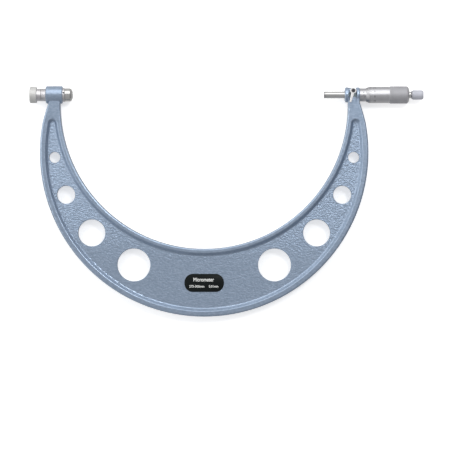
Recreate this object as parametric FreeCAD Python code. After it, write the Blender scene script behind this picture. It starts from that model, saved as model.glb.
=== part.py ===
"""Outside micrometer with an interchangeable anvil, set for its 275-300 mm range.

The instrument lies flat. The origin is the centre of the anvil's measuring face, +X runs along the
measuring axis towards the ratchet, +Y points away from the frame's bow and +Z is up. Millimetres.
Each physical piece is one node, and each node is one STEP file in parts/.
"""
import FreeCAD, Part
import math
import os

Vector = FreeCAD.Vector
X_AXIS = Vector(1, 0, 0)
Z_AXIS = Vector(0, 0, 1)
ORIGIN = Vector(0, 0, 0)

# ---- driving dimensions -------------------------------------------------------------------------
READING = 3.0                  # opening shown on the sleeve at rest
SHORTEST_LENGTH = 275.0        # gap at zero with the short anvil
GAP = SHORTEST_LENGTH + READING

# frame bow: a crescent between two circles that share the frame's centre line
FRAME_X = 145.6                # centre line of the frame
INNER_R = 158.8
INNER_Y = -11.4
OUTER_R = 181.4
OUTER_Y = -63.7
RIM_HALF = 7.0                 # half the frame's thickness at the rims
WEB_HALF = 3.6                 # half the thickness of the recessed web
EDGE_R = 2.0                   # rounding of the frame's outer edges
STEP_R = 1.3                   # rounding at the top and the foot of the slope down to the web
INNER_RIM = 6.2                # inner edge to the middle of the slope
OUTER_RIM = 7.5                # outer edge to the middle of the slope
POCKET_END_R = 3.6
NECK_POINTS = ((178.43, -31.0), (175.6, -20.5), (170.6, -5.0))   # outer side of a neck
NECK_TOP_X = 170.2             # the same side at the height of the measuring axis
HOLES = ((77.7, 188.0, 18.2), (124.2, 152.6, 14.9), (152.5, 110.5, 10.0), (165.1, 69.2, 6.1))
HOLE_CHAMFER = 0.5

# anvil end of the frame
ANVIL_BOSS = (-29.3, -10.9)
ANVIL_BOSS_R = 9.8
ANVIL_BOSS_SOFT = 0.8
ANVIL_SLEEVE_R = 6.0
ANVIL_FLANGE_END = -8.4
ANVIL_FLANGE_R = 7.7
SLEEVE_TAIL_END = -34.9
SLEEVE_TAIL_R = 5.6
SHOULDER_X = -20.0             # inside the anvil sleeve, holds the draw screw
STEM_R = 4.45
STEM_BORE_R = 4.5
LOCK_RING_R = 7.0
DRAW_SHAFT_R = 3.05
DRAW_BORE_R = 3.1
DRAW_NECK_R = 6.8
DRAW_KNOB_R = 9.1
DRAW_KNOB = (-47.4, -39.5)
DRAW_THREAD_R = 1.95           # crest of the M4 thread on the anvil's tail
DRAW_THREAD_FIT = 0.06
DRAW_BORE_START = -34.0        # blind end of the draw screw's thread
CLIP = (SHOULDER_X + 0.1, SHOULDER_X + 0.9)
CLIP_R = (2.6, 4.3)
KEY_ANGLE = 15.0               # the key screw leans this far from +Z towards +Y
KEY_X = -9.65
KEY_R = 0.85
ANVIL_TAIL_END = -30.0
STEM_START = SHOULDER_X + 2.0
ANVIL_HEAD_R = 7.3
ANVIL_GROOVE = (-2.75, -2.35)  # fine groove in front of the head's bevel
ANVIL_TIP_R = 4.0
ANVIL_TIP_X = -2.0             # bottom of the tip's seat

# spindle end of the frame
HEAD_BOSS = (300.9, 317.6)
HEAD_BOSS_R = 8.4
RECESS = (305.1, 313.9)        # milled flat between the two rings of the head boss
RECESS_Y = -7.2                # lower end of the flat
RECESS_Z = 5.0
INNER_SLEEVE_START = RECESS[0] - 1.1
SPINDLE_R = 3.75
SPINDLE_TIP_T = 1.5
GUIDE_R = 3.80
SCREW_R = 3.45                 # crest of the 0.5 mm pitch spindle thread
SCREW_START = 322.5
NUT_R = 3.50
SHANK_R = 5.6
BARREL_R = 6.2
NUT_BODY_R = 5.2
BARREL_END = 345.0
NUT_END = 359.0
SLEEVE_R = 7.3
SLEEVE_END = 348.0

# thimble and ratchet
THIMBLE_FRONT = 324.5
THIMBLE_CONE_END = 328.0
THIMBLE_R = 9.0
THIMBLE_GRIP = (350.4, 371.6)
THIMBLE_GRIP_R = 9.6
THIMBLE_CAVITY_R = 7.42
THIMBLE_WALL_X = 363.0
TAPER_R = (3.4, 2.9)
TAPER_SHORT = 0.3              # the spindle ends this far inside the thimble's end face
STUD_THREAD_X = THIMBLE_WALL_X - 1.0
WASHER_T = 0.6
WASHER_R = 3.9
FLANGE_END = 374.4
FLANGE_R = 3.6
KNOB = (374.8, 387.9)
KNOB_R = 5.3
KNOB_CAVITY_R = 4.2
KEYWAY_HALF = 0.6              # half the width of the knob's two keyways
CAP_T = 1.9
JOURNAL_R = 2.0
JOURNAL_FIT = 0.05
JOURNAL_END = KNOB[0] + 6.3
WHEEL = (KNOB[0] + 1.6, KNOB[0] + 3.4)
DISC = (WHEEL[1] + 1.0, WHEEL[1] + 2.6)
TEETH_R = (2.3, 3.8)
TOOTH_HEIGHT = 0.45
TOOTH_COUNT = 12

# clamp lever
STUD_X = 310.0
STUD_Y = 4.3
STUD_R = 2.4
STUD_FIT = 0.04
STUD_BOTTOM = -5.6
CLAMP_TURN = 45.0              # lever angle from free to clamped
ARM_ANGLE = 256.0              # direction of the free lever in plan, from +X
ARM_LENGTH = 13.4
ARM_HALF = (1.75, 1.05)        # half the arm's width at the hub and at the tip
HUB_R = 3.4
HUB_Z = (5.1, 10.2)
HUB_SEAT = 1.6                 # depth of the stud's seat in the hub
ARM_Z = (9.1, 10.7)
CLAMP_SCREW_R = 1.2
CLAMP_SCREW_END = 3.0
SCREW_HEAD = (HUB_Z[0] + 2.6, HUB_Z[0] + 4.3)
SCREW_HEAD_R = 1.95

# name plate
PLATE_SIZE = (43.6, 19.9)
PLATE_R = 9.3
PLATE_Y = -207.8
PLATE_T = 0.8

CLEAR = 0.02                   # seats that meet across a joint
TINY = 1e-6                    # tolerance for finding edges


# ---- helpers ------------------------------------------------------------------------------------
def turned(points):
    """Solid of revolution about the measuring axis from an outline of (x, radius) points."""
    outline = [Vector(x, r, 0) for x, r in points]
    face = Part.Face(Part.makePolygon(outline + outline[:1]))
    return face.revolve(ORIGIN, X_AXIS, 360)


def rod(x0, x1, radius):
    """Cylinder on the measuring axis."""
    return Part.makeCylinder(radius, x1 - x0, Vector(x0, 0, 0), X_AXIS)


def tube(x0, x1, outer, inner):
    return rod(x0, x1, outer).cut(rod(x0 - 1, x1 + 1, inner))


def box(low, high):
    size = [b - a for a, b in zip(low, high)]
    return Part.makeBox(*size, Vector(*low))


def upright(radius, z0, z1, x, y):
    """Cylinder parallel to Z."""
    return Part.makeCylinder(radius, z1 - z0, Vector(x, y, z0), Z_AXIS)


def around_axis(shape, angle):
    """Copy of a shape turned about the measuring axis."""
    copy = shape.copy()
    copy.rotate(ORIGIN, X_AXIS, angle)
    return copy


def arc(start, middle, end):
    return Part.Arc(Vector(*start, 0), Vector(*middle, 0), Vector(*end, 0)).toShape()


def line(start, end):
    return Part.LineSegment(Vector(*start, 0), Vector(*end, 0)).toShape()


def prism(edges, z0, z1):
    """Extrude a closed outline drawn in the XY plane."""
    face = Part.Face(Part.Wire(edges))
    face.translate(Vector(0, 0, z0))
    return face.extrude(Vector(0, 0, z1 - z0))


# ---- frame --------------------------------------------------------------------------------------
def bow_outline():
    """The crescent with its two necks, open towards the measuring axis."""
    inner_top = math.sqrt(INNER_R ** 2 - INNER_Y ** 2)
    left = [(FRAME_X - x, y) for x, y in NECK_POINTS]
    right = [(FRAME_X + x, y) for x, y in NECK_POINTS]
    return [
        arc((FRAME_X - inner_top, 0), (FRAME_X, INNER_Y - INNER_R), (FRAME_X + inner_top, 0)),
        line((FRAME_X + inner_top, 0), (FRAME_X + NECK_TOP_X, 0)),
        line((FRAME_X + NECK_TOP_X, 0), right[2]),
        arc(right[2], right[1], right[0]),
        arc(right[0], (FRAME_X, OUTER_Y - OUTER_R), left[0]),
        arc(left[0], left[1], left[2]),
        line(left[2], (FRAME_X - NECK_TOP_X, 0)),
        line((FRAME_X - NECK_TOP_X, 0), (FRAME_X - inner_top, 0)),
    ]


def pocket_outline(grow, z):
    """Outline of the recess, with a round end that touches both of its long arcs."""
    inner = INNER_R + INNER_RIM - grow
    outer = OUTER_R - OUTER_RIM + grow
    end_r = POCKET_END_R + grow
    reach_in = inner + end_r
    reach_out = outer - end_r
    span = INNER_Y - OUTER_Y
    drop = (reach_in ** 2 - reach_out ** 2 + span ** 2) / (2 * span)
    end_x = math.sqrt(reach_in ** 2 - drop ** 2)
    end_y = INNER_Y - drop

    def along(circle_y, reach, radius):
        return end_x * radius / reach, circle_y + (end_y - circle_y) * radius / reach

    in_x, in_y = along(INNER_Y, reach_in, inner)
    out_x, out_y = along(OUTER_Y, reach_out, outer)
    top_y = end_y + end_r
    wire = Part.Wire([
        arc((FRAME_X - in_x, in_y), (FRAME_X, INNER_Y - inner), (FRAME_X + in_x, in_y)),
        arc((FRAME_X + in_x, in_y), (FRAME_X + end_x, top_y), (FRAME_X + out_x, out_y)),
        arc((FRAME_X + out_x, out_y), (FRAME_X, OUTER_Y - outer), (FRAME_X - out_x, out_y)),
        arc((FRAME_X - out_x, out_y), (FRAME_X - end_x, top_y), (FRAME_X - in_x, in_y)),
    ])
    wire.translate(Vector(0, 0, z))
    return wire


def flat_edges(shape, level):
    """The edges that lie in the plane z = level."""
    def lies_in_it(edge):
        return abs(edge.BoundBox.ZMin - level) < TINY and abs(edge.BoundBox.ZMax - level) < TINY
    return [edge for edge in shape.Edges if lies_in_it(edge)]


def recess_cutter(side):
    """The pocket on one face of the bow, with walls at 45 degrees and a rounding at their foot."""
    half_run = (RIM_HALF - WEB_HALF) / 2
    foot = pocket_outline(-half_run, WEB_HALF)
    mouth = pocket_outline(half_run, RIM_HALF)
    cutter = Part.makeLoft([foot, mouth], True, True)
    cutter = cutter.makeFillet(STEP_R, flat_edges(cutter, WEB_HALF))
    if side < 0:
        cutter = cutter.mirror(ORIGIN, Z_AXIS)
    return cutter


def on_pocket_rim(edge):
    """True for the edges where the pocket breaks through the rim face."""
    nearly = (RIM_HALF - WEB_HALF) / 2 + 0.1
    middle = edge.valueAt((edge.FirstParameter + edge.LastParameter) / 2)
    from_inner = math.hypot(middle.x - FRAME_X, middle.y - INNER_Y) - INNER_R
    from_outer = OUTER_R - math.hypot(middle.x - FRAME_X, middle.y - OUTER_Y)
    return from_inner > INNER_RIM - nearly and from_outer > OUTER_RIM - nearly


def bow():
    """Rims, web and lightening holes."""
    body = prism(bow_outline(), -RIM_HALF, RIM_HALF)
    neck_top_y = NECK_POINTS[-1][1]
    rim_edges = flat_edges(body, RIM_HALF) + flat_edges(body, -RIM_HALF)
    body = body.makeFillet(EDGE_R, [e for e in rim_edges if e.BoundBox.YMin < neck_top_y - 1])
    for side in (1, -1):
        body = body.cut(recess_cutter(side))
        pocket_edges = [e for e in flat_edges(body, side * RIM_HALF) if on_pocket_rim(e)]
        body = body.makeFillet(STEP_R, pocket_edges)
    for x, drop, radius in HOLES:
        for hand in (-1, 1):
            body = body.cut(hole_cutter(FRAME_X + hand * x, -drop, radius))
    return body


def hole_cutter(x, y, radius):
    """A lightening hole with a small chamfer at both mouths."""
    cutter = upright(radius, -RIM_HALF, RIM_HALF, x, y)
    for side in (-1, 1):
        mouth = side * WEB_HALF
        cone = Part.makeCone(
            radius, radius + 2 * HOLE_CHAMFER, 2 * HOLE_CHAMFER,
            Vector(x, y, mouth - side * HOLE_CHAMFER), Vector(0, 0, side))
        cutter = cutter.fuse(cone)
    return cutter


def anvil_boss():
    low, high = ANVIL_BOSS
    soft = ANVIL_BOSS_SOFT
    return turned([
        (low, 0), (low, ANVIL_BOSS_R - soft), (low + soft, ANVIL_BOSS_R),
        (high - soft, ANVIL_BOSS_R), (high, ANVIL_BOSS_R - soft), (high, 0)])


def head_boss():
    """Barrel-shaped boss with a raised ring at each end."""
    low, high = HEAD_BOSS
    soft = 0.9
    low_drop = 1.6
    groove = 0.35
    slope = 0.6
    return turned([
        (low, 0), (low, HEAD_BOSS_R - low_drop), (low + soft, HEAD_BOSS_R),
        (RECESS[0] - slope, HEAD_BOSS_R), (RECESS[0], HEAD_BOSS_R - groove),
        (RECESS[1], HEAD_BOSS_R - groove), (RECESS[1] + slope, HEAD_BOSS_R),
        (high - soft, HEAD_BOSS_R), (high, HEAD_BOSS_R - soft), (high, 0)])


def milled_flat():
    """Cutter for the flat between the rings, where the clamp lever sits."""
    far = 2 * HEAD_BOSS_R
    return box((RECESS[0], RECESS_Y, RECESS_Z), (RECESS[1], far, far))


def key_hole(radius, low, high):
    """Radial cylinder for the anvil's key screw."""
    pin = Part.makeCylinder(radius, high - low, Vector(KEY_X, 0, low), Z_AXIS)
    return around_axis(pin, -KEY_ANGLE)


def frame():
    body = bow().fuse(anvil_boss()).fuse(head_boss())
    body = body.cut(milled_flat())
    body = body.cut(rod(ANVIL_BOSS[0] - 5, ANVIL_BOSS[1] + 5, ANVIL_SLEEVE_R))
    body = body.cut(rod(HEAD_BOSS[0] - 5, INNER_SLEEVE_START + 1, GUIDE_R))
    body = body.cut(rod(INNER_SLEEVE_START, HEAD_BOSS[1] + 5, SHANK_R))
    body = body.cut(stud_hole())
    return body


def name_plate():
    """Stadium-like plate bonded to the web."""
    half_x = PLATE_SIZE[0] / 2
    half_y = PLATE_SIZE[1] / 2
    plate = box(
        (FRAME_X - half_x, PLATE_Y - half_y, WEB_HALF),
        (FRAME_X + half_x, PLATE_Y + half_y, WEB_HALF + PLATE_T))
    corners = [e for e in plate.Edges if abs(e.BoundBox.ZLength - PLATE_T) < 1e-6]
    return plate.makeFillet(PLATE_R, corners)


# ---- anvil end ----------------------------------------------------------------------------------
def anvil_sleeve():
    """Flanged sleeve fixed in the boss; guides the anvil's stem and the draw screw."""
    body = turned([
        (SLEEVE_TAIL_END, 0), (SLEEVE_TAIL_END, SLEEVE_TAIL_R - 0.4),
        (SLEEVE_TAIL_END + 0.4, SLEEVE_TAIL_R), (ANVIL_BOSS[0], SLEEVE_TAIL_R),
        (ANVIL_BOSS[0], ANVIL_SLEEVE_R), (ANVIL_BOSS[1], ANVIL_SLEEVE_R),
        (ANVIL_BOSS[1], ANVIL_FLANGE_R), (ANVIL_FLANGE_END - 0.3, ANVIL_FLANGE_R),
        (ANVIL_FLANGE_END, ANVIL_FLANGE_R - 0.3), (ANVIL_FLANGE_END, 0)])
    body = body.cut(rod(SLEEVE_TAIL_END - 1, 0, DRAW_BORE_R))
    body = body.cut(rod(SHOULDER_X, 0, STEM_BORE_R))
    return body.cut(key_hole(KEY_R, 0, 2 * ANVIL_FLANGE_R))


def anvil_key_screw():
    """Small socket screw whose tip rides in the anvil's keyway."""
    tip_z, head_z = 3.85, ANVIL_FLANGE_R - 0.55
    tip_r = KEY_R - 0.15
    socket_depth = 0.9
    screw = key_hole(KEY_R, STEM_BORE_R, head_z)
    screw = screw.fuse(key_hole(tip_r, tip_z, STEM_BORE_R + 0.1))
    return screw.cut(key_hole(KEY_R / 2, head_z - socket_depth, head_z + 1))


def sleeve_lock_ring():
    """Ring nut on the sleeve's threaded tail, with two spanner slots."""
    low, high = SLEEVE_TAIL_END + 0.2, ANVIL_BOSS[0]
    soft = 0.4
    slot_half, slot_depth, slot_length = 0.7, 0.8, 1.6
    ring = turned([
        (low, SLEEVE_TAIL_R), (low, LOCK_RING_R - soft), (low + soft, LOCK_RING_R),
        (high - soft, LOCK_RING_R), (high, LOCK_RING_R - soft), (high, SLEEVE_TAIL_R)])
    slot = box(
        (low - 1, -slot_half, LOCK_RING_R - slot_depth), (low + slot_length, slot_half, LOCK_RING_R + 1))
    for angle in (35, 215):
        ring = ring.cut(around_axis(slot, angle))
    return ring


def draw_screw():
    """Knurled knob and hollow shaft that pull the anvil home."""
    shaft_end = STEM_START - 0.3
    neck_end = SLEEVE_TAIL_END - 0.1
    low, high = DRAW_KNOB
    low_soft, high_soft = 0.9, 0.6
    body = turned([
        (low, 0), (low, DRAW_KNOB_R - low_soft), (low + low_soft, DRAW_KNOB_R),
        (high - high_soft, DRAW_KNOB_R), (high, DRAW_KNOB_R - high_soft),
        (high, DRAW_NECK_R), (neck_end, DRAW_NECK_R),
        (neck_end, DRAW_SHAFT_R), (CLIP[0] - CLEAR, DRAW_SHAFT_R), (CLIP[0] - CLEAR, CLIP_R[0]),
        (CLIP[1] + CLEAR, CLIP_R[0]), (CLIP[1] + CLEAR, DRAW_SHAFT_R), (shaft_end, DRAW_SHAFT_R),
        (shaft_end, 0)])
    return body.cut(rod(DRAW_BORE_START, 0, DRAW_THREAD_R + DRAW_THREAD_FIT))


def draw_clip():
    """Retaining ring that keeps the draw screw against the shoulder in the sleeve."""
    ring = tube(CLIP[0], CLIP[1], CLIP_R[1], CLIP_R[0])
    gap_half, gap_angle = 0.9, 60
    gap = box((CLIP[0] - 1, -CLIP_R[1] - 1, -gap_half), (CLIP[1] + 1, 0, gap_half))
    return ring.cut(around_axis(gap, gap_angle))


def anvil_body():
    """Polished head, guide stem with a keyway, and the threaded tail."""
    seat = ANVIL_FLANGE_END + CLEAR
    soft = 0.3
    tail_soft = 0.4
    groove_r = ANVIL_HEAD_R - 0.25
    groove_low, groove_high = ANVIL_GROOVE
    face = -0.3
    body = turned([
        (ANVIL_TAIL_END, 0), (ANVIL_TAIL_END, DRAW_THREAD_R - tail_soft),
        (ANVIL_TAIL_END + tail_soft, DRAW_THREAD_R), (STEM_START, DRAW_THREAD_R),
        (STEM_START, STEM_R - soft), (STEM_START + soft, STEM_R), (seat, STEM_R),
        (seat, ANVIL_HEAD_R - soft), (seat + soft, ANVIL_HEAD_R), (groove_low, ANVIL_HEAD_R),
        (groove_low + 0.1, groove_r), (groove_high - 0.1, groove_r), (groove_high, ANVIL_HEAD_R),
        (-1.3, ANVIL_HEAD_R - 0.75), (-0.5, ANVIL_TIP_R + 1.1), (face, ANVIL_TIP_R + 0.5), (face, 0)])
    key_half = KEY_R + 0.05
    key_floor = 3.75
    keyway = box((STEM_START - 1, -key_half, key_floor), (ANVIL_FLANGE_END - 0.15, key_half, 6))
    body = body.cut(around_axis(keyway, -KEY_ANGLE))
    return body.cut(rod(ANVIL_TIP_X, 1, ANVIL_TIP_R))


def anvil_tip():
    """Hard-metal measuring face."""
    soft = 0.12
    return turned([
        (ANVIL_TIP_X, 0), (ANVIL_TIP_X, ANVIL_TIP_R), (-soft, ANVIL_TIP_R),
        (0, ANVIL_TIP_R - soft), (0, 0)])


# ---- spindle end: fixed pieces ------------------------------------------------------------------
def stud_hole():
    return upright(STUD_R + STUD_FIT, STUD_BOTTOM - 0.2, 2 * HEAD_BOSS_R, STUD_X, STUD_Y)


def inner_sleeve():
    """Pressed-in sleeve with the spindle's guide bore and the slotted nut at its far end."""
    body = turned([
        (INNER_SLEEVE_START, 0), (INNER_SLEEVE_START, SHANK_R), (HEAD_BOSS[1], SHANK_R),
        (HEAD_BOSS[1], BARREL_R), (BARREL_END, BARREL_R), (BARREL_END, NUT_BODY_R),
        (NUT_END - 0.5, NUT_BODY_R), (NUT_END, NUT_BODY_R - 0.5), (NUT_END, 0)])
    body = body.cut(rod(HEAD_BOSS[0], NUT_END + 1, NUT_R))
    body = body.cut(rod(HEAD_BOSS[0], HEAD_BOSS[1], GUIDE_R))
    body = body.cut(rod(HEAD_BOSS[1] - 1, BARREL_END + 1, GUIDE_R + 0.25))
    slot_half = 0.4
    slot = box((BARREL_END + 2.5, -slot_half, 0), (NUT_END + 1, slot_half, NUT_BODY_R + 1))
    for angle in (30, 150, 270):
        body = body.cut(around_axis(slot, angle))
    return body.cut(stud_hole()).cut(milled_flat())


def adjusting_nut():
    """Ring nut that closes the slotted end on the spindle thread."""
    low, high = BARREL_END + 4.5, BARREL_END + 11.0
    radius, soft = 7.0, 0.3
    slot_half, slot_depth, slot_length = 0.8, 1.1, 1.5
    ring = turned([
        (low, NUT_BODY_R), (low, radius - soft), (low + soft, radius), (high - soft, radius),
        (high, radius - soft), (high, NUT_BODY_R)])
    slot = box((high - slot_length, -slot_half, radius - slot_depth), (high + 1, slot_half, radius + 1))
    for angle in (0, 180):
        ring = ring.cut(around_axis(slot, angle))
    return ring


def graduated_sleeve():
    """Outer sleeve with the millimetre scale, held on the barrel by friction."""
    soft = 0.25
    hole_x, hole_r = HEAD_BOSS[1] + 2.2, 0.8
    body = turned([
        (HEAD_BOSS[1], BARREL_R), (HEAD_BOSS[1], SLEEVE_R), (SLEEVE_END - soft, SLEEVE_R),
        (SLEEVE_END, SLEEVE_R - soft), (SLEEVE_END, BARREL_R)])
    spanner_hole = upright(hole_r, BARREL_R - 0.2, SLEEVE_R + 1, hole_x, 0)
    return body.cut(around_axis(spanner_hole, 180))


# ---- spindle end: moving pieces -----------------------------------------------------------------
def spindle():
    """Plain guide length, screw, taper for the thimble and the tapped end."""
    start = GAP + SPINDLE_TIP_T
    taper_large, taper_small = TAPER_R
    taper_end = THIMBLE_GRIP[1] - TAPER_SHORT
    body = turned([
        (start, 0), (start, SPINDLE_R), (SCREW_START - 0.5, SPINDLE_R), (SCREW_START, SCREW_R),
        (THIMBLE_WALL_X, SCREW_R), (THIMBLE_WALL_X, taper_large), (taper_end, taper_small),
        (taper_end, 0)])
    return body.cut(rod(STUD_THREAD_X - 0.5, taper_end + 1, JOURNAL_R))


def spindle_tip():
    soft = 0.15
    end = GAP + SPINDLE_TIP_T
    return turned([
        (GAP, 0), (GAP, SPINDLE_R - soft), (GAP + soft, SPINDLE_R), (end, SPINDLE_R), (end, 0)])


def thimble():
    """Bevelled scale end, satin body and raised knurled grip over the sleeve."""
    front = THIMBLE_FRONT
    lip = 0.25
    grip_start, end = THIMBLE_GRIP
    grip_rise, end_bevel = 0.6, 1.8
    taper_large, taper_small = TAPER_R
    return turned([
        (front, THIMBLE_CAVITY_R), (front, THIMBLE_CAVITY_R + lip), (THIMBLE_CONE_END, THIMBLE_R),
        (grip_start, THIMBLE_R), (grip_start + grip_rise, THIMBLE_GRIP_R),
        (end - end_bevel, THIMBLE_GRIP_R), (end, THIMBLE_GRIP_R - end_bevel), (end, taper_small),
        (end - TAPER_SHORT, taper_small), (THIMBLE_WALL_X, taper_large),
        (THIMBLE_WALL_X, THIMBLE_CAVITY_R)])


def thimble_washer():
    end = THIMBLE_GRIP[1]
    return tube(end + CLEAR, end + WASHER_T, WASHER_R, JOURNAL_R + JOURNAL_FIT)


def ratchet_stud():
    """Screwed into the spindle; its flange holds the thimble on its taper."""
    flange = THIMBLE_GRIP[1] + WASHER_T + CLEAR
    soft = 0.3
    return turned([
        (STUD_THREAD_X, 0), (STUD_THREAD_X, JOURNAL_R), (flange, JOURNAL_R), (flange, FLANGE_R),
        (FLANGE_END - soft, FLANGE_R), (FLANGE_END, FLANGE_R - soft), (FLANGE_END, JOURNAL_R),
        (JOURNAL_END - soft, JOURNAL_R), (JOURNAL_END, JOURNAL_R - soft), (JOURNAL_END, 0)])


def face_teeth(x_root, direction):
    """Ring of small radial ridges on a disc's face."""
    inner, outer = TEETH_R
    half = 0.45
    back = x_root - direction * 0.2
    profile = [
        Vector(x_root, -half, inner), Vector(x_root + direction * TOOTH_HEIGHT, 0, inner),
        Vector(x_root, half, inner), Vector(back, half, inner), Vector(back, -half, inner)]
    ridge = Part.Face(Part.makePolygon(profile + profile[:1])).extrude(Vector(0, 0, outer - inner))
    step = 360 / TOOTH_COUNT
    ridges = [around_axis(ridge, index * step) for index in range(TOOTH_COUNT)]
    return ridges[0].fuse(ridges[1:])


def ratchet_wheel():
    """Toothed wheel fixed on the stud."""
    low, high = WHEEL
    wheel = tube(low, high, TEETH_R[1] + 0.1, JOURNAL_R)
    return wheel.fuse(face_teeth(high, 1)).removeSplitter()


def ratchet_disc():
    """Toothed disc keyed to the knob and pushed by the spring."""
    low, high = DISC
    disc = tube(low, high, TEETH_R[1] + 0.2, JOURNAL_R + JOURNAL_FIT)
    disc = disc.fuse(face_teeth(low, -1))
    lug_half = KEYWAY_HALF - 0.05
    lug = box((low, -lug_half, TEETH_R[1] - 0.2), (high, lug_half, TEETH_R[1] + 0.8))
    for angle in (0, 180):
        disc = disc.fuse(around_axis(lug, angle))
    return disc.removeSplitter()


def ratchet_spring():
    """Compression coil between the disc and the end cap."""
    wire = 0.3
    radius = 3.2
    turns = 3.5
    low = DISC[1] + wire
    high = KNOB[1] - CAP_T - wire
    helix = Part.makeHelix((high - low) / turns, high - low, radius)
    circle = Part.makeCircle(wire, Vector(radius, 0, 0), Vector(0, 1, 0))
    coil = Part.Wire(helix).makePipeShell([Part.Wire(circle)], True, True)
    coil.rotate(ORIGIN, Vector(0, 1, 0), 90)
    coil.translate(Vector(low, 0, 0))
    return coil


def ratchet_knob():
    """Hollow grip that turns on the stud."""
    low, high = KNOB
    bore_r = JOURNAL_R + JOURNAL_FIT
    wall = low + 1.5
    shallow = KNOB_R - 0.1
    body = turned([
        (low, bore_r), (low, KNOB_R - 1.2), (low + 1.4, shallow), (low + 3.0, KNOB_R),
        (high - 1.6, shallow), (high, KNOB_R - 0.9), (high, KNOB_CAVITY_R),
        (wall, KNOB_CAVITY_R), (wall, bore_r)])
    keyway = box((WHEEL[1] + 0.1, -KEYWAY_HALF, 3.6), (high - CAP_T - 0.05, KEYWAY_HALF, 4.65))
    for angle in (0, 180):
        body = body.cut(around_axis(keyway, angle))
    return body


def ratchet_cap():
    """Plug screwed into the knob's open end."""
    high = KNOB[1]
    dome = 0.3
    rim_x = high - 0.5
    return turned([
        (high - CAP_T, 0), (high - CAP_T, KNOB_CAVITY_R), (rim_x, KNOB_CAVITY_R),
        (rim_x + dome, KNOB_CAVITY_R - dome), (high, 0)])


# ---- clamp --------------------------------------------------------------------------------------
def clamp_stud():
    """Stud beside the spindle, notched so that a turn wedges the notch against the spindle."""
    stud = upright(STUD_R, STUD_BOTTOM, HUB_Z[0] + HUB_SEAT, STUD_X, STUD_Y)
    centre = Vector(STUD_X, STUD_Y, 0)
    notch_r = SPINDLE_R + 0.08
    section = Part.Face(Part.Wire(Part.makeCircle(notch_r, Vector(STUD_X, 0, 0), X_AXIS)))
    sweep = section.revolve(centre, Z_AXIS, -CLAMP_TURN)
    straight = rod(STUD_X - 20, STUD_X + 20, notch_r)
    turned_back = straight.copy()
    turned_back.rotate(centre, Z_AXIS, -CLAMP_TURN)
    stud = stud.cut(sweep.fuse(straight).fuse(turned_back))
    return stud.cut(upright(CLAMP_SCREW_R, CLAMP_SCREW_END, HUB_Z[1], STUD_X, STUD_Y))


def lever_arm():
    """Tapered arm with a round tip, drawn along +X and turned to its free direction."""
    root, tip = ARM_HALF
    length = ARM_LENGTH - tip
    low, high = ARM_Z
    soft = 0.45
    arm = prism([
        line((0, -root), (length, -tip)),
        arc((length, -tip), (length + tip, 0), (length, tip)),
        line((length, tip), (0, root)),
        line((0, root), (0, -root))], low, high)
    arm = arm.makeFillet(soft, flat_edges(arm, high) + flat_edges(arm, low))
    arm.rotate(ORIGIN, Z_AXIS, ARM_ANGLE)
    arm.translate(Vector(STUD_X, STUD_Y, 0))
    return arm


def clamp_lever():
    """Chrome arm with a ring-shaped hub that seats on the stud."""
    low, high = HUB_Z
    soft = 0.5
    above = ARM_Z[1] + 2
    socket_r = SCREW_HEAD_R + 0.35
    hub = upright(HUB_R, low, high, STUD_X, STUD_Y)
    lever = hub.makeFillet(soft, flat_edges(hub, high)).fuse(lever_arm())
    lever = lever.cut(upright(STUD_R, low - 1, low + HUB_SEAT, STUD_X, STUD_Y))
    lever = lever.cut(upright(CLAMP_SCREW_R, low, above, STUD_X, STUD_Y))
    return lever.cut(upright(socket_r, SCREW_HEAD[0], above, STUD_X, STUD_Y))


def clamp_screw():
    """Socket screw that ties the lever to the stud."""
    low, high = SCREW_HEAD
    soft = 0.25
    socket_r, socket_depth = 0.85, 1.0
    screw = upright(CLAMP_SCREW_R, CLAMP_SCREW_END + 0.1, low + 0.1, STUD_X, STUD_Y)
    head = upright(SCREW_HEAD_R, low, high, STUD_X, STUD_Y)
    head = head.makeFillet(soft, flat_edges(head, high))
    socket = upright(socket_r, high - socket_depth, high + 1, STUD_X, STUD_Y)
    return screw.fuse(head).cut(socket).removeSplitter()


NODES = {
    "frame": frame,
    "name_plate": name_plate,
    "anvil_sleeve": anvil_sleeve,
    "anvil_key_screw": anvil_key_screw,
    "sleeve_lock_ring": sleeve_lock_ring,
    "draw_screw": draw_screw,
    "draw_clip": draw_clip,
    "anvil_body": anvil_body,
    "anvil_tip": anvil_tip,
    "inner_sleeve": inner_sleeve,
    "adjusting_nut": adjusting_nut,
    "graduated_sleeve": graduated_sleeve,
    "spindle": spindle,
    "spindle_tip": spindle_tip,
    "thimble": thimble,
    "thimble_washer": thimble_washer,
    "ratchet_stud": ratchet_stud,
    "ratchet_wheel": ratchet_wheel,
    "ratchet_disc": ratchet_disc,
    "ratchet_spring": ratchet_spring,
    "ratchet_knob": ratchet_knob,
    "ratchet_cap": ratchet_cap,
    "clamp_stud": clamp_stud,
    "clamp_lever": clamp_lever,
    "clamp_screw": clamp_screw,
}


def main():
    os.makedirs("parts", exist_ok=True)
    for name, build in NODES.items():
        shape = build()
        shape.exportStep(os.path.join("parts", name + ".step"))
        print(f"{name:18s} solids {len(shape.Solids)} valid {shape.isValid()} volume {shape.Volume:.1f}")


main()
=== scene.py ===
import math

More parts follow.
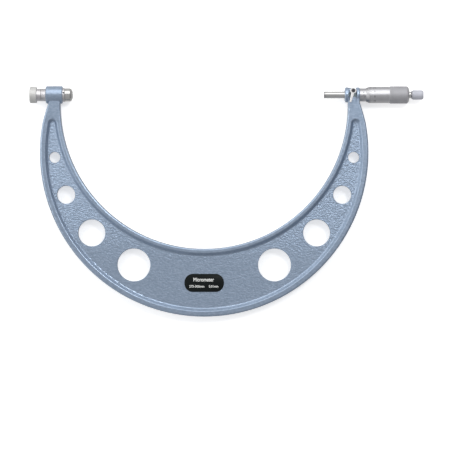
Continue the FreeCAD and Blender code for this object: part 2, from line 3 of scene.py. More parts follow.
import bpy
import bmesh
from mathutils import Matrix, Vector


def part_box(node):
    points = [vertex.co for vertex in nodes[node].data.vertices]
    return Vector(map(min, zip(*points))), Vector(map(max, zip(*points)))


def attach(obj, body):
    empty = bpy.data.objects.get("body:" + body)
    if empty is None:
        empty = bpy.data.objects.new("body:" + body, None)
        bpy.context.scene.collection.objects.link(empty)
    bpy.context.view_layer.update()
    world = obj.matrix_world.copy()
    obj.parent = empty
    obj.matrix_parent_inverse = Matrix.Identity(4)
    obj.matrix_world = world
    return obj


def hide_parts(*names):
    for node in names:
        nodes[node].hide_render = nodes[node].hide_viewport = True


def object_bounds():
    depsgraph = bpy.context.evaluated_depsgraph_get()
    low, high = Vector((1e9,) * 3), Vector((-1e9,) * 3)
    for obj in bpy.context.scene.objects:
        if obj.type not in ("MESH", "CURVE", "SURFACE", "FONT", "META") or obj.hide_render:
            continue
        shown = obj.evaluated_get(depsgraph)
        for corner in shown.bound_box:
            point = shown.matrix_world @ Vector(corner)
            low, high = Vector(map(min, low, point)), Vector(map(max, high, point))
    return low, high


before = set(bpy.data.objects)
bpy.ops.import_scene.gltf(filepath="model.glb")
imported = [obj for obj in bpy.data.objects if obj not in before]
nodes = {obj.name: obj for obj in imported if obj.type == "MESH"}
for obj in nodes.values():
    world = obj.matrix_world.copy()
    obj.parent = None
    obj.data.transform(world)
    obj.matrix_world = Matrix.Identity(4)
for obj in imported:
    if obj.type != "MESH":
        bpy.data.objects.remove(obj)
cad_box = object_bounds()

# Shapes are in millimetres until they become meshes. Materials, lights and the camera are in metres.
# The measuring axis is X, Z is up and the origin is the centre of the anvil's measuring face, as in the
# CAD model.
MM = 0.001
FULL_TURN = 2 * math.pi


def span(node, axis=0):
    """Low and high ends of a CAD node along one axis, in millimetres."""
    low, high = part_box(node)
    return low[axis] / MM, high[axis] / MM


# ---- mesh helpers -------------------------------------------------------------------------------
def make_mesh(name, points, faces, sharp_degrees=35):
    """Mesh object from points in millimetres, smooth except at edges sharper than the angle."""
    mesh = bpy.data.meshes.new(name)
    mesh.from_pydata([Vector(p) * MM for p in points], [], faces)
    mesh.validate()
    shell = bmesh.new()
    shell.from_mesh(mesh)
    bmesh.ops.recalc_face_normals(shell, faces=shell.faces)
    shell.to_mesh(mesh)
    shell.free()
    mesh.shade_smooth()
    mesh.set_sharp_from_angle(angle=math.radians(sharp_degrees))
    obj = bpy.data.objects.new(name, mesh)
    bpy.context.scene.collection.objects.link(obj)
    return obj


def on_axis(x, radius, turn):
    """Point at a radius from the measuring axis. A turn of 0 is up, and positive goes towards +Y."""
    return x, radius * math.sin(turn), radius * math.cos(turn)


def soften(outline, radius, steps=3):
    """Round the corners of a closed (x, r) outline by up to the given radius."""
    largest_share = 0.45
    nearly_straight = math.radians(178)
    rounded = []
    count = len(outline)
    for index, corner in enumerate(outline):
        here = Vector(corner)
        before = Vector(outline[index - 1]) - here
        after = Vector(outline[(index + 1) % count]) - here
        if corner[1] == 0 or before.angle(after) > nearly_straight:
            rounded.append(corner)
            continue
        reach = min(radius, largest_share * before.length, largest_share * after.length)
        start = here + before.normalized() * reach
        end = here + after.normalized() * reach
        for step in range(steps + 1):
            t = step / steps
            point = start * (1 - t) ** 2 + here * 2 * t * (1 - t) + end * t ** 2
            rounded.append((point.x, point.y))
    return rounded


def lathe(name, outline, segments, relief):
    """Turn a closed (x, r) outline about the measuring axis.

    Relief gives what is added to the radius at (x, r, turn).
    """
    points, rings = [], []
    for x, r in outline:
        if r == 0:
            rings.append([len(points)] * segments)
            points.append((x, 0, 0))
            continue
        ring = []
        for step in range(segments):
            turn = FULL_TURN * step / segments
            ring.append(len(points))
            points.append(on_axis(x, r + relief(x, r, turn), turn))
        rings.append(ring)
    faces = []
    for index, ring in enumerate(rings):
        next_index = (index + 1) % len(rings)
        following = rings[next_index]
        if outline[index][1] == 0 and outline[next_index][1] == 0:
            continue
        for step in range(segments):
            after = (step + 1) % segments
            corners = []
            for corner in (ring[step], ring[after], following[after], following[step]):
                if corner not in corners:
                    corners.append(corner)
            faces.append(corners)
    return make_mesh(name, points, faces)


def fill_in(outline, low, high, step):
    """Add evenly spaced points to the level stretches of an outline that lie between two x values."""
    largest_rise = 0.2
    margin = 0.3
    filled = []
    for index, (x, r) in enumerate(outline):
        filled.append((x, r))
        next_x, next_r = outline[(index + 1) % len(outline)]
        is_level = r > 0 and next_r > 0 and abs(next_r - r) < largest_rise
        if is_level and min(x, next_x) >= low - margin and max(x, next_x) <= high + margin:
            pieces = max(1, round(abs(next_x - x) / step))
            for piece in range(1, pieces):
                t = piece / pieces
                filled.append((x + (next_x - x) * t, r + (next_r - r) * t))
    return filled


# Grooves run out to nothing over the fade at each end. Points further inside the knurled surface than
# the band belong to other surfaces of the same piece.
KNURL_FADE = 0.5
KNURL_BAND = 0.6
POINTS_PER_GROOVE = 4


def knurl(low, high, radius, depth, cut):
    """Relief of grooves between two x values. Cut gives their share of the depth at (x, turn)."""
    def relief(x, r, turn):
        if r < radius - KNURL_BAND or x < low or x > high:
            return 0
        ease = min(1, (x - low) / KNURL_FADE, (high - x) / KNURL_FADE)
        return -depth * cut(x, turn) * max(0, ease)
    return relief


def diamond_knurl(low, high, radius, count, depth):
    """Relief of two crossed sets of grooves."""
    pitch = FULL_TURN * radius / count

    def groove(t):
        return abs(2 * (t - math.floor(t)) - 1)

    def cut(x, turn):
        along = (x - low) / pitch
        around = turn * count / FULL_TURN
        return max(groove(around + along), groove(around - along))
    return knurl(low, high, radius, depth, cut)


def straight_knurl(low, high, radius, count, depth):
    """Relief of grooves along the axis."""
    def cut(x, turn):
        return 0.5 - 0.5 * math.cos(turn * count)
    return knurl(low, high, radius, depth, cut)


# Black filling in an engraved surface: how far it stands out and how deep it goes.
PROUD = 0.012
SUNK = 0.06


def inlay(name, ladders, radius):
    """Closed thin strips let into a turned surface.

    Each strip is a ladder: a list of rungs, each with two (x, turn) ends.
    """
    points, faces = [], []
    for ladder in ladders:
        first = len(points)
        for rung in ladder:
            for x, turn in rung:
                points.append(on_axis(x, radius(x) + PROUD, turn))
                points.append(on_axis(x, radius(x) - SUNK, turn))
        # Each rung has four points, so the next rung's are four further on.
        for step in range(len(ladder) - 1):
            a = first + 4 * step
            b = a + 4
            faces += [(a, a + 2, b + 2, b), (a + 1, b + 1, b + 3, a + 3),
                      (a, b, b + 1, a + 1), (a + 2, a + 3, b + 3, b + 2)]
        last = len(points) - 4
        faces += [(first, first + 1, first + 3, first + 2), (last, last + 2, last + 3, last + 1)]
    return make_mesh(name, points, faces)


# Height of a capital in Blender's own font, for a text size of 1.
CAPITAL = 0.7
CURVE_STEPS = 4
SAME_POINT = 1e-5


def flat_text(text, height, width=None, weight=0.0):
    """Generic lettering in the XY plane, centred, in millimetres, set to a width if one is given."""
    curve = bpy.data.curves.new("lettering", "FONT")
    curve.body = text
    curve.size = height / CAPITAL
    curve.offset = weight
    curve.resolution_u = CURVE_STEPS
    source = bpy.data.objects.new("lettering", curve)
    flat = bmesh.new()
    flat.from_mesh(bpy.data.meshes.new_from_object(source))
    bpy.data.objects.remove(source)
    bmesh.ops.remove_doubles(flat, verts=flat.verts, dist=SAME_POINT)
    low = min(vert.co.x for vert in flat.verts)
    high = max(vert.co.x for vert in flat.verts)
    stretch = width / (high - low) if width else 1
    for vert in flat.verts:
        vert.co.x = (vert.co.x - (low + high) / 2) * stretch
        vert.co.y -= height / 2
    return flat


def thicken(flat, low, high):
    """Make a flat text mesh into closed solids between two heights; returns points and faces."""
    bottom = list(flat.verts)
    raised = bmesh.ops.extrude_face_region(flat, geom=flat.faces[:])["geom"]
    top = [element for element in raised if isinstance(element, bmesh.types.BMVert)]
    for vert in bottom:
        vert.co.z = low
    for vert in top:
        vert.co.z = high
    flat.verts.index_update()
    points = [tuple(vert.co) for vert in flat.verts]
    faces = [[vert.index for vert in face.verts] for face in flat.faces]
    flat.free()
    return points, faces


def wrapped_text(text, height, x, turn, radius):
    """Figures let into a turned surface, reading along the axis with their tops towards +Y."""
    # Sliced finely enough to bend round the surface.
    slice_step = 0.35
    flat = flat_text(text, height)
    cuts = round(2 * height / slice_step)
    for cut in range(cuts + 1):
        level = Vector((0, -height + cut * slice_step, 0))
        everything = flat.verts[:] + flat.edges[:] + flat.faces[:]
        bmesh.ops.bisect_plane(flat, geom=everything, plane_co=level, plane_no=(0, 1, 0))
    points, faces = thicken(flat, -SUNK, PROUD)
    wrapped = [on_axis(x + px, radius + pz, turn + py / radius) for px, py, pz in points]
    return wrapped, faces


def gather(name, solids):
    """One mesh from several lists of points and faces."""
    points, faces = [], []
    for solid_points, solid_faces in solids:
        first = len(points)
        points += solid_points
        faces += [[first + corner for corner in face] for face in solid_faces]
    return make_mesh(name, points, faces)


# ---- material helpers ---------------------------------------------------------------------------
def new_material(name):
    """New material, with its node tree and its surface shader."""
    material = bpy.data.materials.new(name)
    material.use_nodes = True
    tree = material.node_tree
    shader = tree.nodes["Principled BSDF"]
    return material, tree, shader


def add_node(tree, kind, **settings):
    """Shader node of a kind, with its properties set."""
    node = tree.nodes.new(kind)
    for key, value in settings.items():
        setattr(node, key, value)
    return node


def object_noise(tree, scale, stretch=(1, 1, 1), detail=2.0):
    """Noise in object space, from 0 to 1. Scale is cells per metre, stretched along each axis."""
    place = add_node(tree, "ShaderNodeTexCoord")
    mapping = add_node(tree, "ShaderNodeMapping")
    mapping.inputs["Scale"].default_value = [scale * s for s in stretch]
    tree.links.new(place.outputs["Object"], mapping.inputs["Vector"])
    noise = add_node(tree, "ShaderNodeTexNoise")
    noise.inputs["Scale"].default_value = 1.0
    noise.inputs["Detail"].default_value = detail
    tree.links.new(mapping.outputs["Vector"], noise.inputs["Vector"])
    return noise.outputs["Fac"]


def ramp(tree, source, stops):
    """Colour ramp driven by a value."""
    node = add_node(tree, "ShaderNodeValToRGB")
    elements = node.color_ramp.elements
    while len(elements) < len(stops):
        elements.new(0.5)
    for element, (position, colour) in zip(elements, stops):
        element.position = position
        element.color = (*colour, 1)
    tree.links.new(source, node.inputs["Fac"])
    return node.outputs["Color"]


def span_value(tree, source, low, high):
    """Map a 0-1 value to another range."""
    node = add_node(tree, "ShaderNodeMapRange")
    node.inputs["To Min"].default_value = low
    node.inputs["To Max"].default_value = high
    tree.links.new(source, node.inputs["Value"])
    return node.outputs["Result"]


def smooth_step(tree, source, start, end, low, high):
    """Low below the start, high above the end, and a soft change between them."""
    node = add_node(tree, "ShaderNodeMapRange", interpolation_type="SMOOTHSTEP")
    node.inputs["From Min"].default_value = start
    node.inputs["From Max"].default_value = end
    node.inputs["To Min"].default_value = low
    node.inputs["To Max"].default_value = high
    tree.links.new(source, node.inputs["Value"])
    return node.outputs["Result"]


def product(tree, first, second):
    """One value times another."""
    node = add_node(tree, "ShaderNodeMath", operation="MULTIPLY")
    tree.links.new(first, node.inputs[0])
    tree.links.new(second, node.inputs[1])
    return node.outputs[0]


def weighted_sum(tree, first, first_share, second, second_share):
    """Sum of two values, each times its share."""
    scaled = add_node(tree, "ShaderNodeMath", operation="MULTIPLY")
    scaled.inputs[1].default_value = second_share
    tree.links.new(second, scaled.inputs[0])
    total = add_node(tree, "ShaderNodeMath", operation="MULTIPLY_ADD")
    total.inputs[1].default_value = first_share
    tree.links.new(first, total.inputs[0])
    tree.links.new(scaled.outputs[0], total.inputs[2])
    return total.outputs[0]


def bump(tree, shader, source, depth):
    """Bump whose full range of heights is depth metres."""
    node = add_node(tree, "ShaderNodeBump")
    node.inputs["Strength"].default_value = 1.0
    node.inputs["Distance"].default_value = depth
    tree.links.new(source, node.inputs["Height"])
    tree.links.new(node.outputs["Normal"], shader.inputs["Normal"])


# Levels of the noise at which a speckled material has its dark and its light tone.
DARK_LEVEL = 0.3
LIGHT_LEVEL = 0.7


def speckled(name, cells, dark, light, detail=2.0):
    """Material whose colour wanders between two tones, with this many patches to a metre."""
    material, tree, shader = new_material(name)
    grain = object_noise(tree, cells, detail=detail)
    shades = ramp(tree, grain, [(DARK_LEVEL, dark), (LIGHT_LEVEL, light)])
    tree.links.new(shades, shader.inputs["Base Color"])
    return material, tree, shader, grain


# ---- enamel -------------------------------------------------------------------------------------
# Colour in the hollows of the mottle, on its slopes and on its tops, each at a level of the noise. The
# same noise lifts the wrinkles, so this is partly a random change of tone and partly painted shade in
# the wrinkles' hollows with a painted highlight on their tops.
ENAMEL_TONE_AND_PAINTED_SHADE = [
    (0.36, (0.268, 0.348, 0.462)), (0.50, (0.300, 0.382, 0.502)), (0.64, (0.336, 0.418, 0.540))]
COARSE_CELLS = 640
COARSE_STRETCH = (0.6, 1, 1)
COARSE_SHARE = 0.7
FINE_CELLS = 2100
FINE_SHARE = 0.3
ENAMEL_GLOSS = (0.26, 0.40)
WRINKLE_DEPTH = 0.0007

# Wrinkles fade between two heights from the middle plane: the top of the web, and low on its border.
WEB_TOP = 0.0037
WEB_BORDER = 0.0042
RIM_WRINKLES = 0.2
# They are strongest on the two legs, above the second of these Y values, and weakest below the first.
BOW_BOTTOM = -0.195
LEGS_START = -0.120
BOTTOM_WRINKLES = 0.5
LEG_WRINKLES = 1.5


def wrinkle_strength(tree):
    """High on the web of the legs, lower at the bottom of the bow, lowest on the rims and bosses."""
    place = add_node(tree, "ShaderNodeTexCoord")
    parts = add_node(tree, "ShaderNodeSeparateXYZ")
    tree.links.new(place.outputs["Object"], parts.inputs["Vector"])
    height = add_node(tree, "ShaderNodeMath", operation="ABSOLUTE")
    tree.links.new(parts.outputs["Z"], height.inputs[0])
    web = smooth_step(tree, height.outputs[0], WEB_TOP, WEB_BORDER, 1.0, RIM_WRINKLES)
    legs = smooth_step(tree, parts.outputs["Y"], BOW_BOTTOM, LEGS_START, BOTTOM_WRINKLES, LEG_WRINKLES)
    return product(tree, web, legs)


def hammertone():
    """Light grey-blue hammer enamel: wrinkled on the cast web, much smoother on the dressed rims."""
    material, tree, shader = new_material("hammertone_enamel")
    coarse = object_noise(tree, COARSE_CELLS, COARSE_STRETCH, detail=1.0)
    fine = object_noise(tree, FINE_CELLS)
    mottle = weighted_sum(tree, coarse, COARSE_SHARE, fine, FINE_SHARE)
    # The base colour follows the wrinkles' heights: painted shade in their hollows, a painted highlight
    # on their tops.
    tree.links.new(ramp(tree, mottle, ENAMEL_TONE_AND_PAINTED_SHADE), shader.inputs["Base Color"])
    shader.inputs["Metallic"].default_value = 0.8
    tree.links.new(span_value(tree, coarse, *ENAMEL_GLOSS), shader.inputs["Roughness"])
    shader.inputs["Coat Weight"].default_value = 0.8
    shader.inputs["Coat Roughness"].default_value = 0.25
    bump(tree, shader, product(tree, mottle, wrinkle_strength(tree)), WRINKLE_DEPTH)
    return material


# ---- metals -------------------------------------------------------------------------------------
STAIN_CELLS = 90
STAIN_DARK = 0.93
STAIN_LIGHT = 1.05
SMOOTHEST = 0.03


def metal(name, colour, roughness, streak=900, along=0.05, depth=0.000004, spread=0.06, metallic=1.0):
    """Turned metal: fine rings across the axis, with a little change in tone and gloss.

    Streak is rings per metre, along is how much slower they change round the axis than along it, depth
    is the rings' height in metres, and spread is how far the roughness goes to either side.
    """
    dark = [c * STAIN_DARK for c in colour]
    light = [min(1, c * STAIN_LIGHT) for c in colour]
    material, tree, shader, _ = speckled(name, STAIN_CELLS, dark, light, detail=3.0)
    rings = object_noise(tree, streak, stretch=(1, along, along), detail=3.0)
    shader.inputs["Metallic"].default_value = metallic
    gloss = span_value(tree, rings, max(SMOOTHEST, roughness - spread), roughness + spread)
    tree.links.new(gloss, shader.inputs["Roughness"])
    bump(tree, shader, rings, depth)
    return material


# ---- plate and scale colours --------------------------------------------------------------------
PEEL_DEPTH = 0.00002
PLATE_GLOSS = (0.28, 0.42)


def black_plate():
    """Semi-gloss black enamel with a faint orange peel."""
    material, tree, shader, peel = speckled(
        "plate_enamel", 1300, (0.004, 0.006, 0.006), (0.008, 0.011, 0.011))
    shader.inputs["Specular IOR Level"].default_value = 0.12
    tree.links.new(span_value(tree, peel, *PLATE_GLOSS), shader.inputs["Roughness"])
    bump(tree, shader, peel, PEEL_DEPTH)
    return material


def pale_figures():
    """Bare metal lettering left bright in the black enamel."""
    material, _, shader, _ = speckled("plate_figures", 1800, (0.80, 0.82, 0.80), (0.90, 0.91, 0.89))
    shader.inputs["Roughness"].default_value = 0.45
    shader.inputs["Metallic"].default_value = 0.2
    return material


def black_filling():
    """Black wax in engraved lines and figures."""
    material, _, shader, _ = speckled(
        "engraving_black", 4000, (0.008, 0.008, 0.009), (0.022, 0.022, 0.024))
    shader.inputs["Roughness"].default_value = 0.6
    return material


ENAMEL = hammertone()
SATIN_CHROME = metal("satin_chrome", (0.55, 0.55, 0.57), 0.37, streak=1500, depth=0.000006)
KNURL_CHROME = metal("matt_chrome", (0.36, 0.36, 0.38), 0.60, streak=1500, metallic=0.4)
KNURL_STEEL = metal("matt_steel", (0.55, 0.55, 0.54), 0.55, streak=1500, metallic=0.5)
KNOB_CHROME = metal("knob_chrome", (0.47, 0.48, 0.53), 0.55, streak=1500, metallic=0.35)
# Dark teal steel for the inner sleeve, whose visible part is the flat in the recess round the clamp
# lever: painted shade of that recess.
RECESS_PAINTED_SHADE = metal("recess_painted_shade", (0.20, 0.24, 0.26), 0.40, streak=1500)
POLISHED = metal("polished_steel", (0.62, 0.62, 0.61), 0.14, streak=2200, depth=0.0000015, spread=0.03)
SATIN_STEEL = metal("satin_steel", (0.66, 0.65, 0.66), 0.42, streak=1700, depth=0.000006)
BRIGHT_CHROME = metal("bright_chrome", (0.90, 0.90, 0.90), 0.20,
                      streak=500, along=1, depth=0.000002, spread=0.03, metallic=0.4)
# Near-black steel for the clamp lever's screw: painted shade standing in for the shadow in the hub's
# socket.
SCREW_PAINTED_SHADE = metal("screw_painted_shade", (0.10, 0.10, 0.11), 0.30)
BLACK_STEEL = metal("black_steel", (0.03, 0.03, 0.03), 0.35)
SPRING_STEEL = metal("spring_steel", (0.42, 0.42, 0.43), 0.30)
HARD_METAL = metal("hard_metal", (0.44, 0.44, 0.44), 0.16, spread=0.03, depth=0.000001)
BLACK_PLATE = black_plate()
FIGURES = pale_figures()
FILLING = black_filling()

CAD_MATERIALS = {
    "frame": ENAMEL, "name_plate": BLACK_PLATE, "anvil_sleeve": SATIN_STEEL,
    "anvil_key_screw": BLACK_STEEL, "sleeve_lock_ring": SATIN_STEEL,
    "draw_screw": SATIN_STEEL, "draw_clip": SPRING_STEEL,
    "anvil_body": POLISHED, "anvil_tip": HARD_METAL, "inner_sleeve": RECESS_PAINTED_SHADE,
    "adjusting_nut": SATIN_STEEL, "graduated_sleeve": SATIN_CHROME, "spindle": POLISHED,
    "spindle_tip": HARD_METAL, "thimble": SATIN_CHROME, "thimble_washer": SPRING_STEEL,
    "ratchet_stud": POLISHED, "ratchet_wheel": SATIN_STEEL, "ratchet_disc": SATIN_STEEL,
    "ratchet_spring": SPRING_STEEL, "ratchet_knob": KNOB_CHROME, "ratchet_cap": KNOB_CHROME,
    "clamp_stud": SATIN_STEEL, "clamp_lever": BRIGHT_CHROME, "clamp_screw": SCREW_PAINTED_SHADE,
}


def dress(obj, *materials):
    """Give an object these materials in place of its own."""
    obj.data.materials.clear()
    for material in materials:
        obj.data.materials.append(material)


def dress_cad():
    """Give every CAD node its material."""
    for name, material in CAD_MATERIALS.items():
        dress(nodes[name], material)


def use_second_material(obj, test):
    """Give the faces that pass a test on their centre, in millimetres, the second material."""
    for face in obj.data.polygons:
        if test(face.center / MM):
            face.material_index = 1


# ---- thimble ------------------------------------------------------------------------------------
# Lengths along the axis are from the thimble's thin front edge or from its back end.
THIMBLE_R = 9.0
CAVITY_R = 7.42
FRONT_R = CAVITY_R + 0.25
CONE_LENGTH = 3.5
GRIP_R = 9.6
GRIP_START = 25.9
GRIP_STEP = 0.6
GRIP_MARGINS = (0.5, 0.1)
GRIP_GROOVES = 84
KNURL_DEPTH = 0.16
END_BEVEL = 1.8
WALL = 38.5
TAPER = (3.4, 2.9)
TAPER_MOUTH = 0.3
EDGE_ROUNDING = 0.12
# Faces this far outside the smooth body belong to the raised grip.
ABOVE_BODY = 0.02


def thimble():
    """Bevelled front, smooth body, raised knurled grip, and a back wall bored to a taper."""
    low, high = span("thimble")
    outline = [
        (low, CAVITY_R), (low, FRONT_R), (low + CONE_LENGTH, THIMBLE_R),
        (low + GRIP_START, THIMBLE_R), (low + GRIP_START + GRIP_STEP, GRIP_R),
        (high - END_BEVEL, GRIP_R), (high, GRIP_R - END_BEVEL),
        (high, TAPER[1]), (high - TAPER_MOUTH, TAPER[1]),
        (low + WALL, TAPER[0]), (low + WALL, CAVITY_R)]
    grip_low = low + GRIP_START + GRIP_MARGINS[0]
    grip_high = high - END_BEVEL - GRIP_MARGINS[1]
    step = FULL_TURN * GRIP_R / GRIP_GROOVES / POINTS_PER_GROOVE
    outline = fill_in(soften(outline, EDGE_ROUNDING), grip_low, grip_high, step)
    relief = diamond_knurl(grip_low, grip_high, GRIP_R, GRIP_GROOVES, KNURL_DEPTH)
    obj = lathe("thimble_shell", outline, GRIP_GROOVES * POINTS_PER_GROOVE, relief)
    dress(obj, SATIN_CHROME, KNURL_CHROME)

    def on_grip(centre):
        return centre.x > low + GRIP_START and math.hypot(centre.y, centre.z) > THIMBLE_R + ABOVE_BODY
    use_second_material(obj, on_grip)
    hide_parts("thimble")
    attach(obj, "spindle")


def thimble_radius(front):
    """Outer radius of the thimble's scale end at any x."""
    rise = (THIMBLE_R - FRONT_R) / CONE_LENGTH

    def radius(x):
        return min(THIMBLE_R, FRONT_R + rise * (x - front))
    return radius


# The datum line on the sleeve leans away from straight up, towards the bow.
DATUM_TURN = math.radians(-14)
DIVISIONS = 50
DIVISIONS_PER_FIGURE = 5
DIVISION_HALF = 0.075
DIVISION_START = 0.12
LONG_DIVISION_END = 6.3
SHORT_DIVISION_END = 4.9
# A division bends where the cone ends, between these distances before and after its end.
CONE_EDGE = (0.05, 0.1)
FIGURES_AT = 9.3
FIGURE_HEIGHT = 2.1


def thimble_scale():
    """Fifty divisions round the scale end, every fifth one longer and numbered."""
    front, _ = span("thimble")
    radius = thimble_radius(front)
    cone_end = front + CONE_LENGTH
    half = DIVISION_HALF / THIMBLE_R
    ladders, figures = [], []
    for division in range(DIVISIONS):
        turn = DATUM_TURN + FULL_TURN * division / DIVISIONS
        numbered = division % DIVISIONS_PER_FIGURE == 0
        end = front + (LONG_DIVISION_END if numbered else SHORT_DIVISION_END)
        stations = (front + DIVISION_START, cone_end - CONE_EDGE[0], cone_end + CONE_EDGE[1], end)
        ladders.append([((x, turn - half), (x, turn + half)) for x in stations])
        if numbered:
            figures.append(
                wrapped_text(str(division), FIGURE_HEIGHT, front + FIGURES_AT, turn, THIMBLE_R))
    marks = inlay("thimble_divisions", ladders, radius)
    numbers = gather("thimble_figures", figures)
    for obj in (marks, numbers):
        dress(obj, FILLING)
        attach(obj, "spindle")


# ---- sleeve scale -------------------------------------------------------------------------------
SLEEVE_R = 7.3
READING = 3.0
SCALE_LENGTH = 25
HALVES_PER_FIGURE = 10
LINE_HALF = 0.07
DATUM_HALF = 0.08
DATUM_ENDS = (0.6, 0.4)
LONG_MARK = 2.6
SHORT_MARK = 1.7
MARK_STEPS = 6
FIGURE_GAP = 1.5
SLEEVE_FIGURE_HEIGHT = FIGURE_HEIGHT * 0.85


def sleeve_scale():
    """Datum line, millimetres above it and half millimetres below it, with a figure every five."""
    front, _ = span("thimble")
    zero = front - READING
    low, high = span("graduated_sleeve")
    datum_half = DATUM_HALF / SLEEVE_R
    ladders = [[((x, DATUM_TURN - datum_half), (x, DATUM_TURN + datum_half))
                for x in (low + DATUM_ENDS[0], high - DATUM_ENDS[1])]]
    figures = []
    for half_mm in range(2 * SCALE_LENGTH + 1):
        x = zero + half_mm / 2
        numbered = half_mm % HALVES_PER_FIGURE == 0
        if numbered:
            length = LONG_MARK
        elif half_mm % 2 == 0:
            length = SHORT_MARK
        else:
            length = -SHORT_MARK
        turns = [DATUM_TURN + length / SLEEVE_R * step / MARK_STEPS for step in range(MARK_STEPS + 1)]
        ladders.append([((x - LINE_HALF, turn), (x + LINE_HALF, turn)) for turn in turns])
        if numbered:
            figure_turn = DATUM_TURN + (length + FIGURE_GAP) / SLEEVE_R
            figures.append(
                wrapped_text(str(half_mm // 2), SLEEVE_FIGURE_HEIGHT, x, figure_turn, SLEEVE_R))
    marks = inlay("sleeve_divisions", ladders, lambda x: SLEEVE_R)
    numbers = gather("sleeve_figures", figures)
    for obj in (marks, numbers):
        dress(obj, FILLING)
        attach(obj, "frame")


# ---- ratchet knob -------------------------------------------------------------------------------
# The grip is widest a little way in from its front, and narrower by the crown at its ends.
RATCHET_R = 5.3
RATCHET_CROWN = 0.1
RATCHET_WIDEST_AT = 3.0
# Length and depth of the bevels at the front and at the back.
FRONT_BEVEL = (1.4, 1.2)
BACK_BEVEL = (1.6, 0.9)
# Grooves and added points stop these distances short of the two ends.
GROOVE_MARGINS = (2.0, 1.3)
FILL_MARGINS = (1.4, 1.2)
RATCHET_CAVITY_R = 4.2
# Points further out than this from the cavity's wall are on the outside.
CAVITY_BAND = 0.3
RATCHET_BORE_R = 2.05
RATCHET_WALL = 1.5
RATCHET_GROOVES = 60
RATCHET_GROOVE_DEPTH = 0.09
RATCHET_SEGMENTS = 360
RATCHET_POINT_STEP = 0.5
KEYWAY_R = 4.65
KEYWAY_HALF = 0.6
KEYWAY_ENDS = (3.5, 1.95)
# A keyway's end walls rise over this length, between rings whose radii differ by a hair.
KEYWAY_END_RUN = 0.01
HAIR = 0.001


def ratchet_knob():
    """Hollow grip with fine grooves along it and two keyways inside."""
    low, high = span("ratchet_knob")
    shallow = RATCHET_R - RATCHET_CROWN
    key_low, key_high = low + KEYWAY_ENDS[0], high - KEYWAY_ENDS[1]
    outline = [
        (low, RATCHET_BORE_R), (low, RATCHET_R - FRONT_BEVEL[1]),
        (low + FRONT_BEVEL[0], shallow), (low + RATCHET_WIDEST_AT, RATCHET_R),
        (high - BACK_BEVEL[0], shallow), (high, RATCHET_R - BACK_BEVEL[1]), (high, RATCHET_CAVITY_R),
        (key_high + KEYWAY_END_RUN, RATCHET_CAVITY_R), (key_high, RATCHET_CAVITY_R - HAIR),
        (key_low, RATCHET_CAVITY_R - HAIR), (key_low - KEYWAY_END_RUN, RATCHET_CAVITY_R),
        (low + RATCHET_WALL, RATCHET_CAVITY_R), (low + RATCHET_WALL, RATCHET_BORE_R)]
    outline = fill_in(outline, low + FILL_MARGINS[0], high - FILL_MARGINS[1], RATCHET_POINT_STEP)
    grip = straight_knurl(low + GROOVE_MARGINS[0], high - GROOVE_MARGINS[1],
                          RATCHET_R, RATCHET_GROOVES, RATCHET_GROOVE_DEPTH)

    def relief(x, r, turn):
        if r > RATCHET_CAVITY_R + CAVITY_BAND:
            return grip(x, r, turn)
        keyed = key_low <= x <= key_high and abs(r * math.sin(turn)) < KEYWAY_HALF
        return KEYWAY_R - RATCHET_CAVITY_R if keyed else 0
    obj = lathe("ratchet_grip", outline, RATCHET_SEGMENTS, relief)
    dress(obj, KNOB_CHROME)
    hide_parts("ratchet_knob")
    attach(obj, "ratchet")


# ---- anvil end ----------------------------------------------------------------------------------
DRAW_KNOB_R = 9.1
DRAW_KNOB_LENGTH = 7.9
DRAW_KNOB_BEVELS = (0.9, 0.6)
DRAW_KNOB_GROOVES = 76
# Faces within this depth of the knob's outside are knurled.
KNURL_SKIN = 0.5
DISH_R = 5.6
DISH_RIM_R = 6.2
DISH_DEPTH = 0.5
DRAW_NECK_R = 6.8
DRAW_NECK_END = 12.4
DRAW_SHAFT_R = 3.05
DRAW_BORE_R = 2.01
DRAW_BORE_START = 13.4
CLIP_GROOVE_R = 2.6
CLIP_PLAY = 0.02


def draw_screw():
    """Knurled knob with a dished end, smooth neck, and the bored shaft inside the sleeve."""
    low, end = span("draw_screw")
    clip_low, clip_high = span("draw_clip")
    groove_low, groove_high = clip_low - CLIP_PLAY, clip_high + CLIP_PLAY
    knob_end = low + DRAW_KNOB_LENGTH
    neck_end = low + DRAW_NECK_END
    bore_start = low + DRAW_BORE_START
    outer_bevel, inner_bevel = DRAW_KNOB_BEVELS
    grip_low, grip_high = low + outer_bevel, knob_end - inner_bevel
    outline = [
        (low + DISH_DEPTH, 0), (low + DISH_DEPTH, DISH_R), (low, DISH_RIM_R),
        (low, DRAW_KNOB_R - outer_bevel), (grip_low, DRAW_KNOB_R), (grip_high, DRAW_KNOB_R),
        (knob_end, DRAW_KNOB_R - inner_bevel), (knob_end, DRAW_NECK_R), (neck_end, DRAW_NECK_R),
        (neck_end, DRAW_SHAFT_R), (groove_low, DRAW_SHAFT_R), (groove_low, CLIP_GROOVE_R),
        (groove_high, CLIP_GROOVE_R), (groove_high, DRAW_SHAFT_R), (end, DRAW_SHAFT_R),
        (end, DRAW_BORE_R), (bore_start, DRAW_BORE_R), (bore_start, 0)]
    step = FULL_TURN * DRAW_KNOB_R / DRAW_KNOB_GROOVES / POINTS_PER_GROOVE
    outline = fill_in(soften(outline, EDGE_ROUNDING), grip_low, grip_high, step)
    relief = diamond_knurl(grip_low, grip_high, DRAW_KNOB_R, DRAW_KNOB_GROOVES, KNURL_DEPTH)
    obj = lathe("draw_knob", outline, DRAW_KNOB_GROOVES * POINTS_PER_GROOVE, relief)
    dress(obj, SATIN_STEEL, KNURL_STEEL)

    def on_grip(centre):
        return centre.x < knob_end and math.hypot(centre.y, centre.z) > DRAW_KNOB_R - KNURL_SKIN
    use_second_material(obj, on_grip)
    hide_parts("draw_screw")
    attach(obj, "draw_screw")


